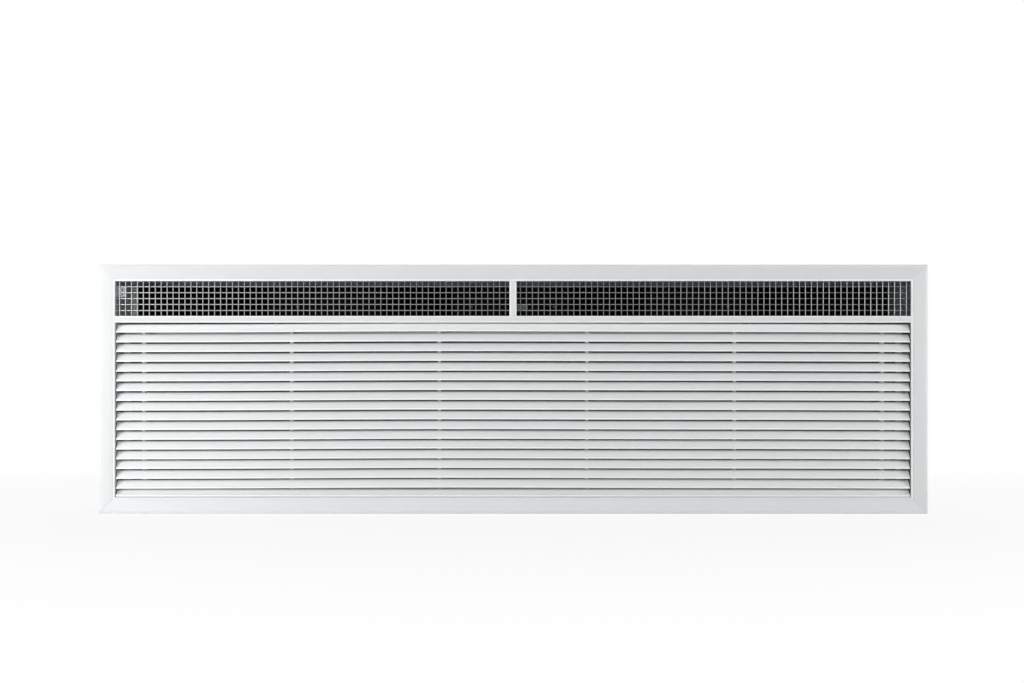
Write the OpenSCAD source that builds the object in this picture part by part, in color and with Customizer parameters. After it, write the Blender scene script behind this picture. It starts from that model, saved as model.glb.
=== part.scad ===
// Recessed air curtain, standing upright with its face towards -Y and the
// discharge slot at the top. X runs along the unit, Y into its depth, Z up.
// Every module draws with y = 0 on the face and z = 0 on the frame's lower edge;
// hung() then puts the origin in the middle of the four hanger holes.

/* [Face frame] */
// Overall length of the frame
frame_w = 1743; // [1500:1:2100]
// Overall height of the frame
frame_h = 524; // [500:1:580]
// Width of each frame bar
bar_w = 35; // [32:0.5:42]
// Wall of the aluminium profiles
profile_t = 2; // [1.6:0.1:2.4]
// Depth of the leg along each bar's inner edge
leg_d = 30; // [26:1:38]
// Depth of the outer return, whose edge seats on the ceiling
return_d = 8; // [7:0.5:10]
// Width of the bevel on the outer edge
bevel_w = 6; // [4:0.5:9]
// Depth of the bevel
bevel_d = 3; // [2:0.5:4]
// Width of the shadow groove beside the inner lip
groove_w = 1.6; // [1:0.1:2.4]
// Depth of the shadow groove
groove_d = 0.8; // [0.4:0.1:1.2]
// Width of the rounded inner lip
lip_w = 4; // [3:0.5:6]
// Radius of the inner lip's edge
lip_r = 1.5; // [0.8:0.1:1.6]
// Hairline gap at each mitre
mitre_gap = 0.3; // [0.1:0.05:0.6]
// Length of a corner key's leg
key_leg = 90; // [60:1:120]
// Width of a corner key's leg
key_w = 22; // [18:1:24]
// Thickness of a corner key
key_t = 3; // [2:0.5:4]

/* [Discharge slot] */
// Height of the discharge slot
slot_h = 72.8; // [60:0.1:90]
// Height of the bar between slot and intake
cross_h = 14; // [12:0.5:20]
// Width of the mullion in the middle of the slot
mullion_w = 15; // [12:0.5:24]
// Pitch of the welded mesh
mesh_pitch = 12.5; // [10:0.5:25]
// Diameter of the mesh wire
wire_d = 2; // [1.6:0.1:2.5]
// Depth of the mesh's front behind the face
mesh_at = 6.9; // [5:0.1:14]
// Least space from an end wire to the opening's side
mesh_side = 6; // [5:0.5:12]
// Least space from an outer row to the opening's edge
mesh_edge = 9; // [6:0.5:12]
// Height of the middle row above the slot's middle
mesh_up = 0.4; // [0:0.1:2]
// Depth of the discharge duct, from the face to the fan deck
duct_d = 180; // [160:1:190]

/* [Intake grille] */
// Number of louvre blades
blade_n = 18; // [18:1:18]
// Height from the middle of a blade's lip to its back edge
blade_rise = 16.1; // [12:0.1:17]
// Tilt of a blade's web at the lip, from the upright
blade_lean = 34; // [0:1:50]
// Tilt of a blade's web at its back edge, from the upright
blade_curl = 86; // [52:1:88]
// Thickness of a blade
blade_t = 1.2; // [1:0.1:1.6]
// Thickness of the upright lip along a blade's front edge
lip_bar_t = 2.2; // [1.8:0.1:2.6]
// Height of that lip
lip_bar_h = 3.2; // [2.6:0.1:4.5]
// Depth of the lips' middles behind the face
bead_at = 4.4; // [4.2:0.1:6]
// Radius of the bead that the lowest blade has in place of a lip, round the hinge pins
hinge_bead_r = 3.2; // [2.9:0.1:3.3]
// Height of the hinge line above the frame's lower lip
hinge_rise = 3.5; // [3.4:0.1:5]
// Height of the hinge line above the place of that blade's lip
hinge_up = 3.3; // [2.5:0.1:4]
// Gap between each blade end and the frame
end_gap = 2; // [1:0.1:4]
// Gap between the top blade and the cross bar
top_gap = 2.4; // [2:0.1:4]
// Number of support bars
support_n = 6; // [5:1:7]
// Space from the middles of the outer support bars to the blades' ends
support_end = 53.25; // [30:0.25:80]
// Thickness of a support bar
support_t = 6; // [4:0.1:8]
// Depth of the support bars' front edge
support_front = 13; // [11:0.5:18]
// Depth of the support bars' back edge
support_back = 40; // [38:0.5:42]
// Radius of the hinge pins
pin_r = 1.5; // [1.2:0.1:1.6]
// Length of a hinge pin inside the hinge blade
pin_in = 10; // [6:0.5:20]
// Width of a spring catch
catch_w = 12; // [8:0.5:20]
// Thickness of a spring catch
catch_t = 1.2; // [0.8:0.1:1.5]
// Length of a catch's tongue over the top of its support bar
catch_l = 5; // [3:0.5:5]

/* [Filter] */
// Thickness of the filter cassette
filter_d = 12; // [8:0.5:20]
// Width of the cassette's bars
filter_bar = 14; // [10:0.5:20]
// Space from the cassette to the sides of the intake
filter_side = 8; // [7:0.5:40]
// Space from the cassette to the intake's upper and lower edges
filter_edge = 11; // [10:0.5:20]
// Thickness of the filter mat
mat_d = 8; // [4:0.5:8]

/* [Casing] */
// Depth of the casing behind the face
casing_d = 385; // [380:1:440]
// Sheet of the galvanised panels
sheet_t = 1.2; // [1:0.1:1.5]
// Depth at which the casing panels start
casing_from = 12; // [10:0.5:14]
// Sheet of the fan deck
deck_t = 1.5; // [1:0.1:2]
// Width of the angle brackets on the duct's end walls
tab_w = 18; // [14:0.5:24]
// Length of such a bracket's foot along the depth
tab_l = 22; // [16:1:40]
// Height of such a bracket
tab_h = 22; // [18:1:30]
// Space above it, to the slot's upper edge
tab_drop = 9; // [4:0.5:15]
// Thickness of such a bracket
tab_t = 1.5; // [1:0.1:2.5]
// Radius of its two holes
tab_hole_r = 1.9; // [1.5:0.1:2.5]
// Spacing of its two holes
tab_pitch = 7.5; // [6:0.5:10]
// Length along the duct's end wall of the angle that closes the corner to the deck
flange_l = 44; // [20:1:60]
// Width of that angle on the deck
flange_w = 4; // [3:0.5:14]
// Distance from the middle to the near edge of the plate on the deck's joint
joint_x = 8.5; // [4:0.5:20]
// Length of that plate
joint_w = 24; // [16:1:40]
// Height of that plate
joint_h = 12; // [8:0.5:20]
// Height of its lower edge above the slot
joint_up = 22; // [10:0.5:40]

/* [Hangers] */
// Spacing of the hanger holes along the unit
hanger_x = 1400; // [1200:1:1450]
// Spacing of the hanger holes across the unit
hanger_z = 380; // [300:1:390]
// Height of the hangers behind the casing
hanger_h = 25; // [20:1:40]
// Radius of a hanger hole, for an M8 rod
hanger_hole_r = 4.5; // [4.3:0.1:6]
// Width of a hanger
hanger_w = 40; // [35:1:60]
// Sheet of a hanger
hanger_t = 2; // [1.5:0.1:3]
// Reach of a hanger's plate to each side of its hole
hanger_reach = 18; // [14:0.5:20]
// Length of a hanger's foot
hanger_foot = 30; // [24:1:36]

/* [Fans] */
// Distance of the two motors from the middle
motor_x = 420; // [400:1:430]
// Distance of each fan from its motor
fan_off = 205; // [195:1:215]
// Outer radius of an impeller
wheel_r = 66; // [55:0.5:68]
// Inner radius of its blade ring
wheel_in_r = 54; // [45:0.5:54]
// Width of an impeller
wheel_w = 150; // [120:1:155]
// Blades on an impeller
vane_n = 36; // [24:1:40]
// Thickness of an impeller's vanes and discs
vane_t = 1.2; // [1:0.1:1.5]
// Width of an impeller's end ring along the shaft
ring_w = 4; // [3:0.5:6]
// Outer radius of an impeller's hub
hub_r = 14; // [12:0.5:20]
// Length of an impeller's hub
hub_l = 30; // [20:1:40]
// Inner width of a fan housing
scroll_w = 164; // [160:1:168]
// Sheet of a fan housing
scroll_t = 1.2; // [1:0.1:1.5]
// Gap between impeller and housing at the tongue
tongue_gap = 8; // [6:0.5:12]
// Radius of the inlets in a housing's side plates
inlet_r = 60; // [56:0.5:62]
// Depth of an inlet ring
inlet_d = 10; // [6:0.5:14]
// Space between the housings and the casing's back
back_gap = 5; // [3:0.5:10]
// Radius of a motor's body
motor_r = 55; // [48:0.5:58]
// Length of a motor's body
motor_l = 150; // [120:1:160]
// Radius of a motor's end bells
bell_r = 34; // [28:0.5:40]
// Length of a motor's end bell
bell_l = 12; // [8:0.5:14]
// Radius of a motor's shaft
shaft_r = 5; // [4:0.1:6]
// Running clearance of shafts and pins, on the radius
run_gap = 0.05; // [0.02:0.01:0.1]
// Thickness of a motor cradle's arms and foot
cradle_t = 3; // [2:0.5:4]
// Width of the band that a cradle has round its motor
cradle_band = 8; // [6:0.5:12]
// Spacing of a cradle's two arms
cradle_span = 90; // [70:1:100]
// Height of a cradle's foot
cradle_foot = 150; // [130:1:180]

/* [Wiring] */
// Distance of the terminal box from the middle
box_x = 160; // [140:1:220]
// Length of the terminal box
box_w = 180; // [150:1:220]
// Height of the terminal box
box_h = 110; // [90:1:120]
// Depth of the terminal box
box_d = 60; // [50:1:70]
// Height of the terminal box above the casing's floor
box_up = 30; // [20:1:40]
// Wall of the terminal box
box_t = 2; // [1.5:0.1:3]
// Thickness of its cover
cover_t = 2; // [1.5:0.1:3]
// Bore of the cable gland, on the radius
gland_bore_r = 5; // [4:0.1:6]
// Radius of the gland's thread
gland_r = 10; // [9:0.1:12]
// Radius of the gland's hexagon, across its corners
gland_hex_r = 14; // [13:0.1:16]
// Length of the gland outside the casing
gland_out = 18; // [14:0.5:19]

/* [Screws] */
// Radius of a screw's shank
screw_r = 2; // [1.5:0.1:2.5]
// Radius of a screw's head
head_r = 4; // [3.5:0.1:5]
// Height of a screw's head
head_h = 2.4; // [2:0.1:3]
// Clearance of a screw in its hole, on the radius
screw_gap = 0.1; // [0.05:0.05:0.3]
// Space from the fan deck's end screws to the casing's sides
deck_screw_end = 41.5; // [20:0.5:60]
// Space from its middle screws to the outlets beside them
deck_screw_side = 40; // [15:0.5:60]
// Distance of its other screws from the motors' middles
deck_screw_off = 59; // [0:0.5:80]

/* [Hidden] */
$fn = 48;
seat_gap = 0.2;
total_d = casing_d + hanger_h;
open_w = frame_w - 2*bar_w;
open_top = frame_h - bar_w;
slot_z = open_top - slot_h;
intake_top = slot_z - cross_h;
mid_z = frame_h/2;

lip_u = bar_w - lip_w;
key_u = bevel_w + 1;

blade_l = open_w - 2*end_gap;
hinge_z = bar_w + hinge_rise;
blade_from = hinge_z - hinge_up;
blade_pitch = (intake_top - top_gap - blade_rise - blade_from)/(blade_n - 1);
web_rise = blade_rise - sin(blade_curl)*blade_t/2;
web_chord = 0.08;
web_l = web_rise/web_mean(1)[1];
web_reach = web_l*web_mean(1)[0];
core_top = intake_top - top_gap;
support_top = core_top - 2.5;
support_pitch = (blade_l - 2*support_end)/(support_n - 1);
filter_w = open_w - 2*filter_side;
filter_z = bar_w + filter_edge;
filter_h = intake_top - filter_edge - filter_z;

mesh_span = (open_w - mullion_w)/2;
mesh_cols = floor((mesh_span - 2*mesh_side)/mesh_pitch) + 1;
mesh_rows = floor((slot_h - 2*mesh_edge)/mesh_pitch) + 1;

case_u = bar_w - profile_t - sheet_t;
case_w = frame_w - 2*case_u;
case_h = frame_h - 2*case_u;
case_in_w = case_w - 2*sheet_t;
case_in_lo = case_u + sheet_t;
case_in_hi = frame_h - case_in_lo;
case_back_in = casing_d - sheet_t;
duct_floor_z = slot_z - profile_t;

throat_lo = slot_z + 1;
throat_hi = open_top - 1;
tongue_deg = 19;
tongue_r = wheel_r + tongue_gap;
fan_z = throat_lo - cos(tongue_deg)*tongue_r;
spiral_r = throat_hi - fan_z;
back_share = (270 - tongue_deg)/(360 - tongue_deg);
fan_y = case_back_in - back_gap - tongue_r - (spiral_r - tongue_r)*back_share;
fan_xs = [-motor_x - fan_off, -motor_x + fan_off, motor_x - fan_off, motor_x + fan_off];
motor_xs = [-motor_x, motor_x];
shaft_l = 2*fan_off + hub_l + 10;
hub_bore_r = shaft_r + run_gap;
vane_sweep = 7;

box_z = case_in_lo + box_up;
box_back = case_back_in;
gland_z = box_z + box_h/2;
long_screws = [-0.44, -0.22, 0, 0.22, 0.44];
short_screws = [-0.3, 0, 0.3];
leg_screw_y = (casing_from + leg_d)/2;
deck_screws_x = [
    motor_x - fan_off - scroll_w/2 - deck_screw_side, motor_x + deck_screw_off,
    case_in_w/2 - deck_screw_end
];

// The unit hangs by its hangers, so the origin is the middle of their outer faces.
module hung() translate([0, -total_d, -mid_z]) children();

// A section drawn as (depth, height), run along X.
module along_x(length) rotate([90, 0, 90]) linear_extrude(length, center = true) children();

// A plate drawn as (x, height), thickness t, with its front at depth y.
module plate(y, t) translate([0, y + t, 0]) rotate([90, 0, 0]) linear_extrude(t) children();

// A round bar or hole along each axis, centred on the origin.
module rod_x(r, length) rotate([0, 90, 0]) cylinder(r = r, h = length, center = true);
module rod_y(r, length) rotate([90, 0, 0]) cylinder(r = r, h = length, center = true);
module rod_z(r, length) cylinder(r = r, h = length, center = true);

// ---------- face frame ----------

// Section of a frame bar as (depth, distance from the outer edge).
module bar_section()
    polygon([
        [return_d, 0], [bevel_d, 0], [0, bevel_w],
        [0, lip_u - groove_w], [groove_d, lip_u - groove_w], [groove_d, lip_u], [0, lip_u],
        for (a = [0:15:90]) [lip_r - lip_r*cos(a), bar_w - lip_r + lip_r*sin(a)],
        [leg_d, bar_w], [leg_d, bar_w - profile_t], [profile_t, bar_w - profile_t],
        [profile_t, bevel_w + profile_t/2], [bevel_d + profile_t/2, profile_t],
        [return_d, profile_t]
    ]);

// A bar lying along X, its outer edge at z = 0, with both ends mitred.
module mitred_bar(length)
    intersection() {
        along_x(length) bar_section();
        plate(0, leg_d) polygon([
            [-length/2 + mitre_gap/2, 0], [length/2 - mitre_gap/2, 0],
            [length/2 - bar_w - mitre_gap/2, bar_w], [-length/2 + bar_w + mitre_gap/2, bar_w]
        ]);
    }

// Holes of the screws that pass a casing panel and the frame leg behind it.
module long_side_holes()
    for (s = long_screws) translate([s*frame_w, leg_screw_y, bar_w])
        rod_z(screw_r + screw_gap, 4*bar_w);
module short_side_holes()
    for (s = short_screws) translate([0, leg_screw_y, mid_z + s*frame_h])
        rod_x(screw_r + screw_gap, 2*frame_w);

module frame_bottom() color("white") difference() {
    mitred_bar(frame_w);
    long_side_holes();
}
module frame_top() translate([0, 0, frame_h]) mirror([0, 0, 1]) frame_bottom();
module frame_left() color("white") difference() {
    translate([-frame_w/2, 0, mid_z]) rotate([0, 90, 0]) mitred_bar(frame_h);
    short_side_holes();
    translate([-open_w/2, bead_at, hinge_z]) rod_x(pin_r + run_gap, 4*profile_t);
}
module frame_right() mirror([1, 0, 0]) frame_left();

module corner_keys() color("silver")
    for (sx = [0, 1], sz = [0, 1])
        translate([0, 0, mid_z]) mirror([sx, 0, 0]) mirror([0, 0, sz]) translate([-frame_w/2, 0, -mid_z])
            plate(profile_t, key_t) polygon([
                [key_u, key_u], [key_u + key_leg, key_u], [key_u + key_leg, key_u + key_w],
                [key_u + key_w, key_u + key_w], [key_u + key_w, key_u + key_leg], [key_u, key_u + key_leg]
            ]);

// Channel section as (depth, width): a face and two legs, with rounded lips.
module channel_section(w)
    polygon([
        for (a = [0:15:90]) [lip_r - lip_r*sin(a), lip_r - lip_r*cos(a)],
        for (a = [0:15:90]) [lip_r - lip_r*cos(a), w - lip_r + lip_r*sin(a)],
        [leg_d, w], [leg_d, w - profile_t], [profile_t, w - profile_t],
        [profile_t, profile_t], [leg_d, profile_t], [leg_d, 0]
    ]);

module cross_bar() color("white")
    translate([0, 0, intake_top]) along_x(open_w - 2*seat_gap) channel_section(cross_h);

module slot_mullion() color("white")
    translate([mullion_w/2, 0, slot_z + seat_gap]) rotate([0, 0, 90])
        linear_extrude(slot_h - 2*seat_gap) channel_section(mullion_w);

// ---------- discharge mesh ----------

// One half's welded mesh, drawn to the right of x = 0: round upright wires, and
// level wires behind them. Each wire is a solid, so the cells stay open.
module mesh_half() {
    x0 = mullion_w/2 + (mesh_span - (mesh_cols - 1)*mesh_pitch)/2;
    z0 = slot_z + (slot_h - (mesh_rows - 1)*mesh_pitch)/2 + mesh_up;
    color("lightgray") {
        for (i = [0:mesh_cols - 1])
            translate([x0 + i*mesh_pitch, mesh_at + wire_d/2, slot_z + slot_h/2])
                rod_z(wire_d/2, slot_h - 2*seat_gap);
        for (j = [0:mesh_rows - 1])
            translate([mullion_w/2 + mesh_span/2, mesh_at + 1.5*wire_d + run_gap/2, z0 + j*mesh_pitch])
                rod_x(wire_d/2, mesh_span - 2*seat_gap);
    }
}
module mesh_right() mesh_half();
module mesh_left() mirror([1, 0, 0]) mesh_half();

// ---------- intake grille ----------

// Tilt of a blade's web from the upright at the share t of its length, which grows
// with the cube of t, and the means of its sine and cosine up to there.
function web_tilt(t) = blade_lean + (blade_curl - blade_lean)*t*t*t;
function web_mean(t) = [for (k = [1:12]) 1/12]
    *[for (k = [0.5:11.5]) [sin(web_tilt(t*k/12)), cos(web_tilt(t*k/12))]];

// Point of a blade's web as (depth, height) from its lip's middle; h is the
// distance in front of the web's middle line, square to it.
function web_point(t, h) =
    t*web_l*web_mean(t) + h*[-cos(web_tilt(t)), sin(web_tilt(t))];

// Web between the shares from and to of its length, in chords of one share each.
module blade_web(from, to, half) let (n = round((to - from)/web_chord))
    polygon([
        for (k = [0:n]) web_point(from + (to - from)*k/n, -half),
        for (k = [n:-1:0]) web_point(from + (to - from)*k/n, half)
    ]);

function blade_z(i) = blade_from + (i - 1)*blade_pitch;

// Section of the lip, a flat bar with round edges.
module lip_section() hull() for (k = [-1, 1], m = [-1, 1])
    translate([k*(lip_bar_t/2 - 0.5), m*(lip_bar_h/2 - 0.5)]) circle(0.5, $fn = 16);

// Blade i, counted from the bottom; the first has a bead that holds the hinge pins.
module blade(i) color("white")
    translate([0, bead_at, blade_z(i)]) along_x(blade_l) difference() {
        union() {
            blade_web(i == 1 ? 0.2 : 0.04, 1, blade_t/2);
            if (i == 1) translate([0, hinge_up]) circle(hinge_bead_r, $fn = 32);
            else lip_section();
        }
        if (i == 1) translate([0, hinge_up]) circle(pin_r + run_gap/2);
    }

// Upright bars behind the blades. Each has a tooth that runs forward under every
// web, and steps back behind the next lip, so that it shows only as a tick.
module support_bars() color("white")
    for (k = [0:support_n - 1])
        translate([(k - (support_n - 1)/2)*support_pitch, 0, 0]) along_x(support_t) difference() {
            translate([support_front, hinge_z + hinge_bead_r])
                square([support_back - support_front, support_top - hinge_z - hinge_bead_r]);
            for (i = [1:blade_n]) translate([bead_at, blade_z(i)]) {
                blade_web(0.36, 1, blade_t/2 + seat_gap);
                blade_web(0.94, 1.02, blade_t/2 + seat_gap);
                step = i == blade_n ? 2*blade_rise : blade_pitch + lip_bar_h/2 + 0.4;
                polygon([
                    for (k = [6:12]) web_point(0.04 + web_chord*k, 0),
                    [web_reach, step], [0, step]
                ]);
            }
        }

module hinge_pins() color("silver")
    for (s = [-1, 1])
        translate([s*(blade_l/2 + (end_gap + profile_t + 1 - pin_in)/2), bead_at, hinge_z])
            rod_x(pin_r, pin_in + end_gap + profile_t + 1);

// Leaf springs that hook over the outer support bars and press on the cross bar.
module core_catches() color("silver")
    for (s = [-1, 1])
        translate([s*support_pitch*(support_n - 1)/2, support_back, support_top]) along_x(catch_w)
            polygon([
                [0, filter_z + filter_h - support_top + seat_gap],
                [catch_t, filter_z + filter_h - support_top + seat_gap],
                [catch_t, seat_gap], [0, catch_t + seat_gap],
                [-catch_l, catch_t + seat_gap], [-catch_l, seat_gap], [0, seat_gap]
            ]);

module filter_cassette() color("gainsboro")
    plate(support_back, filter_d) difference() {
        translate([-filter_w/2, filter_z]) square([filter_w, filter_h]);
        translate([-filter_w/2 + filter_bar, filter_z + filter_bar])
            square([filter_w - 2*filter_bar, filter_h - 2*filter_bar]);
    }

module filter_mat() color("dimgray")
    plate(support_back + (filter_d - mat_d)/2, mat_d)
        translate([-filter_w/2 + filter_bar + seat_gap, filter_z + filter_bar + seat_gap])
            square([filter_w - 2*(filter_bar + seat_gap), filter_h - 2*(filter_bar + seat_gap)]);

// ---------- casing ----------

module casing_back() color("silver") difference() {
    plate(case_back_in, sheet_t) translate([-case_w/2, case_u]) square([case_w, case_h]);
    translate([-box_x, casing_d, gland_z]) rod_y(gland_r + screw_gap, 4*sheet_t);
}

// Long panel on the underside; the upper one is its mirror image.
module casing_bottom() color("silver") difference() {
    translate([-case_w/2, casing_from, case_u]) cube([case_w, case_back_in - casing_from, sheet_t]);
    long_side_holes();
}
module casing_top() translate([0, 0, frame_h]) mirror([0, 0, 1]) casing_bottom();

module casing_left() color("silver") difference() {
    translate([-case_w/2, casing_from, case_in_lo])
        cube([sheet_t, case_back_in - casing_from, case_in_hi - case_in_lo]);
    short_side_holes();
}
module casing_right() mirror([1, 0, 0]) casing_left();

// The duct's lower wall, from under the cross bar's upper leg to the fan deck.
module duct_floor() color("silver")
    translate([-open_w/2 + seat_gap, leg_screw_y, duct_floor_z - sheet_t])
        cube([open_w - 2*seat_gap, duct_d - leg_screw_y, sheet_t]);

module fan_deck() color("#202124") difference() {
    plate(duct_d, deck_t) difference() {
        translate([-case_in_w/2 + seat_gap, duct_floor_z - sheet_t])
            square([case_in_w - 2*seat_gap, case_in_hi - duct_floor_z + sheet_t - seat_gap]);
        for (x = fan_xs) translate([x - scroll_w/2, throat_lo + scroll_t])
            square([scroll_w, throat_hi - throat_lo - 2*scroll_t]);
    }
    deck_screw_places() rod_y(screw_r + screw_gap, 4*deck_t);
}

module deck_screw_places()
    for (s = [-1, 1], x = deck_screws_x) translate([s*x, duct_d, slot_z + slot_h*0.4]) children();

// Angle section as (width, depth): a leg along the depth and a lip at one end.
module angle_section(w, l, t, lip_back)
    polygon(lip_back
        ? [[0, 0], [-t, 0], [-t, l - t], [-w, l - t], [-w, l], [0, l]]
        : [[0, 0], [-w, 0], [-w, t], [-t, t], [-t, l], [0, l]]);

// Fittings in the duct: at each end an angle bracket with two holes and the angle
// that closes the corner to the deck, and a plate over the joint in the deck's middle.
module duct_brackets() color("lightgray") {
    for (s = [0, 1]) mirror([s, 0, 0]) translate([case_in_w/2, 0, 0]) {
        translate([0, leg_d + seat_gap, open_top - tab_drop]) difference() {
            translate([0, 0, -tab_h]) linear_extrude(tab_h) angle_section(tab_w, tab_l, tab_t, false);
            for (k = [-1, 1]) translate([-tab_w/2, 0, -tab_h/2 + k*tab_pitch/2]) rod_y(tab_hole_r, 4*tab_t);
        }
        translate([0, duct_d - flange_l, slot_z]) linear_extrude(slot_h)
            angle_section(flange_w, flange_l, tab_t, true);
    }
    plate(duct_d - tab_t, tab_t) translate([joint_x, slot_z + joint_up]) square([joint_w, joint_h]);
}

// Z brackets on the casing's back, with a hole for a hanging rod in each.
module hangers() color("silver")
    for (sx = [-1, 1], sz = [0, 1])
        translate([sx*hanger_x/2, casing_d, mid_z]) mirror([0, 0, sz]) translate([0, 0, -hanger_z/2])
            difference() {
                along_x(hanger_w) polygon([
                    [0, hanger_reach], [0, hanger_reach + hanger_foot],
                    [hanger_t, hanger_reach + hanger_foot], [hanger_t, hanger_reach + hanger_t],
                    [hanger_h, hanger_reach + hanger_t], [hanger_h, -hanger_reach],
                    [hanger_h - hanger_t, -hanger_reach], [hanger_h - hanger_t, hanger_reach]
                ]);
                translate([0, hanger_h, 0]) rod_y(hanger_hole_r, 4*hanger_t);
            }

// ---------- fans ----------

// Spiral of a housing as (depth, height) round the shaft: its radius grows by
// equal steps from the tongue, down the front, round the back and up to the top.
function spiral(t, cut) = let (
        a = tongue_deg + t*(360 - tongue_deg),
        r = tongue_r + t*(spiral_r - tongue_r) - cut)
    [-r*sin(a), r*cos(a)];

module scroll_outline(cut, front)
    polygon([
        [front, spiral_r - cut],
        for (k = [32:-1:0]) spiral(k/32, cut),
        [front, throat_lo + cut - fan_z]
    ]);

module fan_housing(n)
    color("#2a2b2e") translate([fan_xs[n - 1], fan_y, fan_z]) difference() {
        along_x(scroll_w + 2*scroll_t) scroll_outline(0, duct_d + deck_t - fan_y);
        along_x(scroll_w) scroll_outline(scroll_t, duct_d - fan_y - 1);
        rod_x(inlet_r, 2*scroll_w);
    }

// Rounded rings in the housings' inlets.
module inlet_rings() color("silver")
    for (x = fan_xs, s = [-1, 1])
        translate([x + s*(scroll_w/2 + scroll_t), fan_y, fan_z]) rotate([0, s*90, 0])
            rotate_extrude() translate([inlet_r - 4, 0]) difference() {
                square([10, inlet_d/2]);
                translate([0, inlet_d/2]) scale([0.7, 1]) circle(inlet_d/2 - 1, $fn = 32);
            }

// Squirrel-cage wheel: a middle disc on a hub, two end rings and curved vanes.
module impeller(n)
    color("lightgray") translate([fan_xs[n - 1], fan_y, fan_z]) difference() {
        union() {
            rod_x(hub_r, hub_l);
            rod_x(wheel_in_r + 1, vane_t);
            for (s = [-1, 1]) translate([s*(wheel_w - ring_w)/2, 0, 0]) difference() {
                rod_x(wheel_r, ring_w);
                rod_x(wheel_in_r, 2*ring_w);
            }
            along_x(wheel_w) for (k = [0:vane_n - 1]) rotate(k*360/vane_n) vane();
        }
        rod_x(hub_bore_r, 2*hub_l);
    }

// Point of a vane as (depth, height): t runs outwards, the sweep grows with its
// square, and h is the distance from the vane's middle line, square to it.
function vane_point(t, h) = let (
        w = wheel_r - wheel_in_r,
        r = wheel_in_r + t*w,
        a = vane_sweep*t*t,
        k = r*2*t*vane_sweep*PI/180,
        n = [-sin(a)*w - cos(a)*k, cos(a)*w - sin(a)*k]/norm([w, k]))
    [r*cos(a), r*sin(a)] + h*n;

// One forward-curved vane, in four short chords.
module vane()
    polygon([
        for (k = [0:4]) vane_point(k/4, vane_t/2),
        for (k = [4:-1:0]) vane_point(k/4, -vane_t/2)
    ]);

module motor_shaft(x) color("silver") translate([x, fan_y, fan_z]) rod_x(shaft_r, shaft_l);

module motor(x) color("#3a3d42") translate([x, fan_y, fan_z]) difference() {
    union() {
        rod_x(motor_r, motor_l);
        rod_x(bell_r, motor_l + 2*bell_l);
    }
    rod_x(shaft_r + run_gap, 2*motor_l);
}

// Bracket that clasps a motor with two bands and stands on the casing's back.
module motor_cradles() color("silver")
    for (x = motor_xs) translate([x, fan_y, fan_z]) {
        for (s = [-1, 1]) translate([s*cradle_span/2, 0, 0]) along_x(cradle_t) difference() {
            union() {
                circle(motor_r + seat_gap + cradle_band);
                translate([0, -motor_r/2]) square([case_back_in - cradle_t - fan_y, motor_r]);
            }
            circle(motor_r + seat_gap);
        }
        translate([-cradle_span/2 - cradle_t, case_back_in - cradle_t - fan_y, -cradle_foot/2])
            cube([cradle_span + 2*cradle_t, cradle_t, cradle_foot]);
    }

// ---------- wiring ----------

module terminal_box() color("gainsboro")
    translate([-box_x - box_w/2, box_back - box_d, box_z]) difference() {
        cube([box_w, box_d, box_h]);
        translate([box_t, -box_t, box_t]) cube([box_w - 2*box_t, box_d, box_h - 2*box_t]);
        translate([box_w/2, box_d, box_h/2]) rod_y(gland_r + screw_gap, 4*box_t);
    }

module terminal_cover() color("gainsboro")
    translate([-box_x - box_w/2, box_back - box_d - cover_t, box_z]) cube([box_w, cover_t, box_h]);

module cable_gland() color("dimgray")
    translate([-box_x, 0, gland_z]) difference() {
        union() {
            translate([0, casing_d, 0]) rotate([-90, 0, 0]) {
                cylinder(r = gland_hex_r, h = gland_out/2, $fn = 6);
                cylinder(r = gland_r, h = gland_out);
            }
            translate([0, casing_d + 1, 0]) rotate([90, 0, 0])
                cylinder(r = gland_r, h = sheet_t + box_t + 9);
        }
        translate([0, casing_d, 0]) rod_y(gland_bore_r, 2*(gland_out + box_t + 9));
    }

// ---------- screws ----------

// Pan-head screw along +Z: the head stands on z = 0 and the shank goes down.
module screw(length) {
    cylinder(r = head_r, h = head_h);
    translate([0, 0, -length]) cylinder(r = screw_r, h = length + 0.1);
}

module frame_screws() color("silver") {
    grip = sheet_t + profile_t;
    for (s = long_screws) translate([s*frame_w, leg_screw_y, 0]) {
        translate([0, 0, frame_h - case_u]) screw(grip);
        translate([0, 0, case_u]) rotate([180, 0, 0]) screw(grip);
    }
    for (s = short_screws, k = [-1, 1])
        translate([k*case_w/2, leg_screw_y, mid_z + s*frame_h]) rotate([0, k*90, 0]) screw(grip);
}

module deck_screws() color("silver")
    deck_screw_places() rotate([90, 0, 0]) screw(4*deck_t);

// ---------- the nodes ----------

hung() frame_top();
hung() frame_bottom();
hung() frame_left();
hung() frame_right();
hung() corner_keys();
hung() cross_bar();
hung() slot_mullion();
hung() mesh_left();
hung() mesh_right();
for (i = [1:blade_n]) hung() blade(i);
hung() support_bars();
hung() hinge_pins();
hung() core_catches();
hung() filter_cassette();
hung() filter_mat();
hung() casing_back();
hung() casing_top();
hung() casing_bottom();
hung() casing_left();
hung() casing_right();
hung() duct_floor();
hung() fan_deck();
hung() duct_brackets();
hung() hangers();
for (n = [1:4]) hung() fan_housing(n);
for (n = [1:4]) hung() impeller(n);
hung() motor_shaft(-motor_x);  // shaft_left
hung() motor_shaft(motor_x);  // shaft_right
hung() motor(-motor_x);  // motor_left
hung() motor(motor_x);  // motor_right
hung() motor_cradles();
hung() inlet_rings();
hung() terminal_box();
hung() terminal_cover();
hung() cable_gland();
hung() frame_screws();
hung() deck_screws();
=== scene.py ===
import math

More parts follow.
